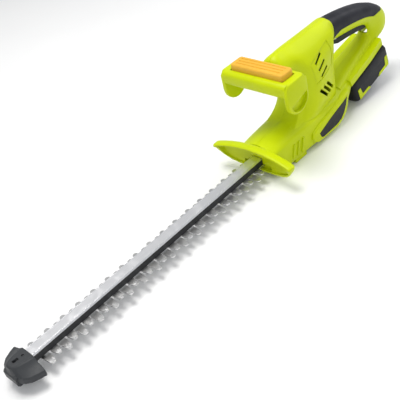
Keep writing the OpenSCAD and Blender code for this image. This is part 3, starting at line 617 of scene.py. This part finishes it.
@dataclass
class SubAssembly:
    """A named group of pieces that ride on one body.

    Attributes:
        body: the CAD body.
        finishes: CAD nodes that keep their mesh, and their finishes.
    """

    body: str = "tool"
    finishes: dict[str, Finish] = field(default_factory=dict)

    def dress(self, piece: bpy.types.Object, finish: Finish) -> None:
        """Gives every slot of a piece one finish."""
        piece.data.materials.clear()
        piece.data.materials.append(finish.material())

    def seat(self, piece: bpy.types.Object, finish: Finish, *nodes: str,
             body: str | None = None) -> bpy.types.Object:
        """Dresses a new piece and puts it in place of CAD nodes.

        Args:
            piece: the new piece.
            finish: its finish.
            nodes: the CAD nodes that it stands for.
            body: the body that it rides on, where it isn't the sub-assembly's.

        Returns:
            The piece.
        """
        self.dress(piece, finish)
        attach(piece, body or self.body)
        if nodes:
            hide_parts(*nodes)
        LOG.info("%s: %d faces in %s", piece.name, len(piece.data.polygons), finish.name)
        return piece

    def smooth(self, node: str, finish: Finish, angle: float) -> bpy.types.Object:
        """A smoothly shaded piece in place of a CAD node.

        Args:
            node: the CAD node.
            finish: its finish.
            angle: edges sharper than this stay sharp, in degrees.

        Returns:
            The piece.
        """
        piece = Bench.merged_copy(node, f"{node}_skin")
        bpy.ops.object.shade_smooth_by_angle(angle=math.radians(angle))
        return self.seat(piece, finish, node)

    def build(self) -> None:
        """Dresses the CAD nodes that keep their mesh, and then builds the new pieces."""
        for node, finish in self.finishes.items():
            self.dress(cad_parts[node], finish)
            LOG.info("%s dressed in %s", node, finish.name)
        self.model()

    def model(self) -> None:
        """Builds the new pieces."""


# ---------------------------------------------------------------- sub-assemblies


@dataclass
class Housing(SubAssembly):
    """The two moulded shells with the guard, cover, badges and side panels.

    Attributes:
        crease: edges sharper than this stay sharp, in degrees.
    """

    finishes: dict[str, Finish] = field(default_factory=partial(
        dict, base_cover=LIME, badge_left=BADGE, badge_right=BADGE, housing_screws=STEEL))
    crease: float = 38.0

    def model(self) -> None:
        """Smooths the shells, the guard and the side panels."""
        for node in ("housing_left", "housing_right", "hand_guard", "window_left", "window_right"):
            self.smooth(node, LIME, self.crease)


@dataclass
class PressBar(SubAssembly):
    """The spring-loaded bar on the front handle, with its springs and switch.

    Attributes:
        corner: radius of its upright corners, in metres.
        crown: radius of its top edges.
        ridges: offsets of the grooves from its middle.
        groove: half width of a groove along its top.
        margin: distance from the grooves' ends to the bar's ends.
        sink: depth of the grooves.
        softening: width of the last bevel on sharp edges.
        crease: edges sharper than this stay sharp, in degrees.
        wire: radius of the springs' wire.
        winding: radius of the springs' centre line.
        inset: distance from a spring's middle to the side of the springs' box.
        turns: turns of each spring.
    """

    body: str = "safety"
    finishes: dict[str, Finish] = field(default_factory=partial(dict, safety_switch=BLACK))
    corner: float = 0.006
    crown: float = 0.0032
    ridges: tuple[float, ...] = (-0.0075, 0.0, 0.0075)
    groove: float = 0.0015
    margin: float = 0.009
    sink: float = 0.0012
    softening: float = 0.00025
    crease: float = 34.0
    wire: float = 0.00035
    winding: float = 0.0026
    inset: float = 0.003
    turns: int = 6

    def model(self) -> None:
        """Builds the bar and its two springs."""
        self.bar()
        low, high = corners("safety_springs")
        middle = (low.x + high.x) / 2
        for side, y in (("left", high.y - self.inset), ("right", low.y + self.inset)):
            foot = Vector((middle, y, low.z))
            spring = coil(f"press_spring_{side}", foot, self.winding, self.wire, high.z - low.z, self.turns)
            self.seat(spring, STEEL, "safety_springs", body="tool")
            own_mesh(spring)

    def bar(self) -> None:
        """Models the bar from a block: rounded corners, crowned edges and sunk grooves."""
        low, high = corners("safety_bar")
        size, middle = high - low, (low + high) / 2
        bpy.ops.object.select_all(action="DESELECT")
        bpy.ops.mesh.primitive_cube_add(size=1.0, location=middle)
        piece = bpy.context.object
        piece.name = "press_bar"
        piece.scale = size
        bpy.ops.object.transform_apply(location=True, rotation=True, scale=True)
        ends = low.y + self.margin, high.y - self.margin

        def upright(edge: bpy.types.MeshEdge) -> bool:
            """Whether an edge is one of the block's upright corners."""
            first, second = (piece.data.vertices[v].co.z for v in edge.vertices)
            return abs(first - second) > size.z - NEAR

        def rim(edge: bpy.types.MeshEdge) -> bool:
            """Whether an edge lies round the block's top."""
            return all(piece.data.vertices[v].co.z > high.z - NEAR for v in edge.vertices)

        def in_groove(face: bpy.types.MeshPolygon) -> bool:
            """Finds the strips of the top that are to be sunk.

            Args:
                face: a face of the bar.

            Returns:
                Whether it lies in a groove.
            """
            flat_top = face.normal.z > FLAT and face.center.z > high.z - NEAR
            across = any(abs(face.center.x - middle.x - x) < self.groove for x in self.ridges)
            return flat_top and across and ends[0] < face.center.y < ends[1]

        Bench.pick(piece, "EDGE", upright)
        bpy.ops.mesh.bevel(offset=self.corner, segments=6, affect="EDGES")
        Bench.pick(piece, "EDGE", rim)
        bpy.ops.mesh.bevel(offset=self.crown, segments=5, affect="EDGES")
        for x in self.ridges:
            for edge in (-self.groove, self.groove):
                bpy.ops.mesh.select_all(action="SELECT")
                bpy.ops.mesh.bisect(plane_co=(middle.x + x + edge, 0, 0), plane_no=(1, 0, 0))
        for y in ends:
            bpy.ops.mesh.select_all(action="SELECT")
            bpy.ops.mesh.bisect(plane_co=(0, y, 0), plane_no=(0, 1, 0))
        Bench.pick(piece, "FACE", in_groove)
        bpy.ops.mesh.extrude_region_move(TRANSFORM_OT_translate={"value": (0, 0, -self.sink)})
        bpy.ops.object.mode_set(mode="OBJECT")
        Bench.modifier(piece, "BEVEL", width=self.softening, segments=2, limit_method="ANGLE",
                       angle_limit=Bench.EDGE)
        Bench.settle(piece, self.crease)
        self.seat(piece, AMBER, "safety_bar")


WIRE_SIDES = 8
STEPS_A_TURN = 20
WIRE_CREASE = 50.0


def coil(name: str, foot: Vector, radius: float, wire: float, height: float,
         turns: int) -> bpy.types.Object:
    """A coil spring wound upwards from its foot.

    Args:
        name: the piece's name.
        foot: middle of its lower end.
        radius: radius of the coil's centre line.
        wire: radius of the wire.
        height: free height.
        turns: number of turns.

    Returns:
        The spring, closed at both ends.
    """
    bpy.ops.object.select_all(action="DESELECT")
    bpy.ops.mesh.primitive_circle_add(vertices=WIRE_SIDES, radius=wire, location=foot + Vector((0, 0, wire)))
    piece = bpy.context.object
    piece.name = name
    bpy.ops.object.mode_set(mode="EDIT")
    bpy.ops.mesh.select_all(action="SELECT")
    bpy.ops.transform.rotate(value=math.pi / 2, orient_axis="X", orient_type="GLOBAL",
                             center_override=piece.location)
    bpy.ops.transform.translate(value=(radius, 0, 0))
    bpy.ops.object.mode_set(mode="OBJECT")
    Bench.modifier(piece, "SCREW", angle=2 * math.pi, screw_offset=(height - 2 * wire) / turns,
                   iterations=turns, steps=STEPS_A_TURN, render_steps=STEPS_A_TURN)
    bpy.ops.object.mode_set(mode="EDIT")
    bpy.ops.mesh.select_all(action="SELECT")
    bpy.ops.mesh.remove_doubles(threshold=NEAR)
    bpy.ops.mesh.fill_holes(sides=0)
    bpy.ops.mesh.normals_make_consistent(inside=False)
    bpy.ops.object.mode_set(mode="OBJECT")
    Bench.settle(piece, WIRE_CREASE)
    return piece


@dataclass
class RearHandle(SubAssembly):
    """Soft grip and trigger with its pin, spring and switch.

    Attributes:
        grip_crease: edges of the grip sharper than this stay sharp, in degrees.
        lever_crease: the same for the trigger.
        rounding: width of the bevel on the trigger's edges.
        wire: radius of the spring's wire.
        winding: radius of the spring's centre line.
        turns: turns of the spring.
    """

    finishes: dict[str, Finish] = field(default_factory=partial(
        dict, trigger_pin=STEEL, trigger_switch=BLACK))
    grip_crease: float = 50.0
    lever_crease: float = 40.0
    rounding: float = 0.0012
    wire: float = 0.0004
    winding: float = 0.003
    turns: int = 8

    def model(self) -> None:
        """Smooths the grip, rounds the trigger and winds its spring."""
        self.smooth("rear_grip", RUBBER, self.grip_crease)
        trigger = Bench.merged_copy("trigger", "trigger_lever", 1.0)
        Bench.modifier(trigger, "BEVEL", width=self.rounding, segments=3, limit_method="ANGLE",
                       angle_limit=Bench.EDGE)
        Bench.settle(trigger, self.lever_crease)
        self.seat(trigger, BLACK, "trigger", body="trigger_lever")
        low, high = corners("trigger_spring")
        foot = Vector(((low.x + high.x) / 2, (low.y + high.y) / 2, low.z))
        spring = coil("trigger_coil", foot, self.winding, self.wire, high.z - low.z, self.turns)
        self.seat(spring, STEEL, "trigger_spring")
        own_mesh(spring)


@dataclass
class CuttingBar(SubAssembly):
    """Blades, the bar over them, its bolts and the tip shield.

    Attributes:
        strip: half width of the blades between their teeth.
        grind: width of the ground edge round each tooth.
        blade_crease: edges of a blade sharper than this stay sharp, in degrees.
        shield_crease: the same for the tip shield.
    """

    finishes: dict[str, Finish] = field(default_factory=partial(
        dict, bar_channel=CHANNEL, bar_cap=CAP, blade_bolts=STEEL, bolt_sleeves=STEEL, tip_rivets=STEEL))
    strip: float = 0.0102
    grind: float = 0.0005
    blade_crease: float = 20.0
    shield_crease: float = 17.0

    def model(self) -> None:
        """Grinds both blades and smooths the tip shield."""
        self.blade("upper_blade", "upper", up=True)
        self.blade("lower_blade", "lower", up=False)
        self.smooth("tip_shield", SHIELD, self.shield_crease)

    def blade(self, node: str, body: str, up: bool) -> None:
        """Copies a blade and grinds the outer edges of its teeth.

        Args:
            node: the blade's CAD node.
            body: the body that it rides on.
            up: whether the ground side is the top.
        """
        piece = Bench.merged_copy(node, f"{node}_ground", 0.5)
        low, high = corners(node)
        level = high.z if up else low.z
        points = piece.data.vertices
        rear = corners("hand_guard")[0].x

        def outer(edge: bpy.types.MeshEdge) -> bool:
            """Whether an edge runs round a tooth on the ground side, ahead of the guard's rear."""
            spots = [points[v].co for v in edge.vertices]
            return all(abs(p.z - level) < NEAR and abs(p.y) > self.strip and p.x > rear for p in spots)

        count = Bench.pick(piece, "EDGE", outer)
        bpy.ops.mesh.bevel(offset=self.grind, segments=1, affect="EDGES", clamp_overlap=True)
        bpy.ops.object.mode_set(mode="OBJECT")
        bpy.ops.object.shade_smooth_by_angle(angle=math.radians(self.blade_crease))
        LOG.info("%s: %d edges ground", node, count)
        self.seat(piece, BLADE, node, body=body)


@dataclass
class Drive(SubAssembly):
    """Motor, gears and the plate that carries them."""

    finishes: dict[str, Finish] = field(default_factory=partial(
        dict, motor_case=STEEL, motor_pinion=BRASS, motor_mount=STEEL, drive_gear=GEAR, gear_plate=PLATE,
        shaft_bearings=BRASS, control_board=BOARD))


@dataclass
class BatteryPack(SubAssembly):
    """Slide-on battery pack and the terminals that it meets.

    Attributes:
        crease: edges of the case sharper than this stay sharp, in degrees.
    """

    body: str = "battery"
    finishes: dict[str, Finish] = field(default_factory=partial(
        dict, battery_accents=LIME_PACK, battery_cells=WRAP, battery_contacts=BRASS, battery_latch=BLACK,
        terminal_block=BLACK, terminal_blades=BRASS))
    crease: float = 32.0

    def model(self) -> None:
        """Smooths the two halves of the case."""
        for node in ("battery_case", "battery_top"):
            self.smooth(node, BLACK, self.crease)


# ---------------------------------------------------------------- studio


@dataclass
class Studio:
    """Pale floor, soft lights and the camera.

    Attributes:
        eye: the camera's place in metres.
        turn: the camera's turn about x, y and z in degrees.
        lens: focal length in millimetres.
        sensor: width of the sensor in millimetres.
        aim: the point that the lights face, in metres.
    """

    eye: tuple[float, float, float] = (0.6489, 0.745, 0.7558)
    turn: tuple[float, float, float] = (52.0655, 12.2527, 132.8134)
    lens: float = 66.465
    sensor: float = 36.0
    aim: tuple[float, float, float] = (-0.05, 0.0, 0.08)

    def camera(self) -> None:
        """Sets up the scene's camera."""
        data = bpy.data.cameras.new("view")
        data.sensor_width, data.lens, data.clip_start, data.clip_end = self.sensor, self.lens, 0.05, 60.0
        camera = bpy.data.objects.new("view", data)
        bpy.context.scene.collection.objects.link(camera)
        camera.location = self.eye
        camera.rotation_euler = tuple(math.radians(a) for a in self.turn)
        bpy.context.scene.camera = camera

    def floor(self) -> None:
        """Lays a wide pale floor."""
        bpy.ops.object.select_all(action="DESELECT")
        bpy.ops.mesh.primitive_plane_add(size=16.0, location=(0, 0, -0.0003))
        floor = bpy.context.object
        floor.name = "studio_floor"
        web = NodeWeb("studio_paper")
        blots = web.noise(0.4, 3.0).span(0.3, 0.7)
        web.surface(Base_Color=web.mixed(blots, (0.9, 0.9, 0.9), (0.87, 0.87, 0.875)), Roughness=0.75)
        floor.data.materials.append(web.material)

    def light(self, name: str, place: tuple[float, float, float], power: float, size: float,
              colour: Colour = (1, 1, 1)) -> None:
        """Adds a soft square light that faces the object.

        Args:
            name: its name.
            place: where it stands, in metres.
            power: its power in watts.
            size: the length of its side.
            colour: its colour.
        """
        data = bpy.data.lights.new(name, "AREA")
        data.energy, data.size, data.color = power, size, colour
        lamp = bpy.data.objects.new(name, data)
        bpy.context.scene.collection.objects.link(lamp)
        lamp.location = place
        lamp.rotation_euler = (Vector(self.aim) - Vector(place)).to_track_quat("-Z", "Y").to_euler()

    def build(self) -> None:
        """Builds the floor, the sky and the lights."""
        self.floor()
        world = bpy.data.worlds.new("studio_sky")
        bpy.context.scene.world = world
        world.use_nodes = True
        sky = world.node_tree.nodes["Background"]
        sky.inputs["Color"].default_value = (0.96, 0.98, 1.0, 1.0)
        sky.inputs["Strength"].default_value = 0.5
        self.light("key", (0.1, -0.25, 1.85), 26.0, 0.9, (1.0, 0.985, 0.96))
        self.light("fill", (1.1, 1.4, 1.1), 7.0, 1.6, (0.97, 0.985, 1.0))
        self.light("rim", (-1.4, 0.4, 1.1), 7.0, 1.0)
        bpy.context.scene.view_settings.view_transform = "Standard"
        bpy.context.scene.view_settings.look = "None"


def main() -> None:
    """Builds the camera, every sub-assembly and the studio, in that order."""
    logging.basicConfig(level=logging.INFO, format="%(name)s %(message)s")
    studio = Studio()
    studio.camera()
    for part in (Housing(), PressBar(), RearHandle(), CuttingBar(), Drive(), BatteryPack()):
        part.build()
        LOG.info("%s is built", type(part).__name__)
    studio.build()


if __name__ == "__main__":
    main()
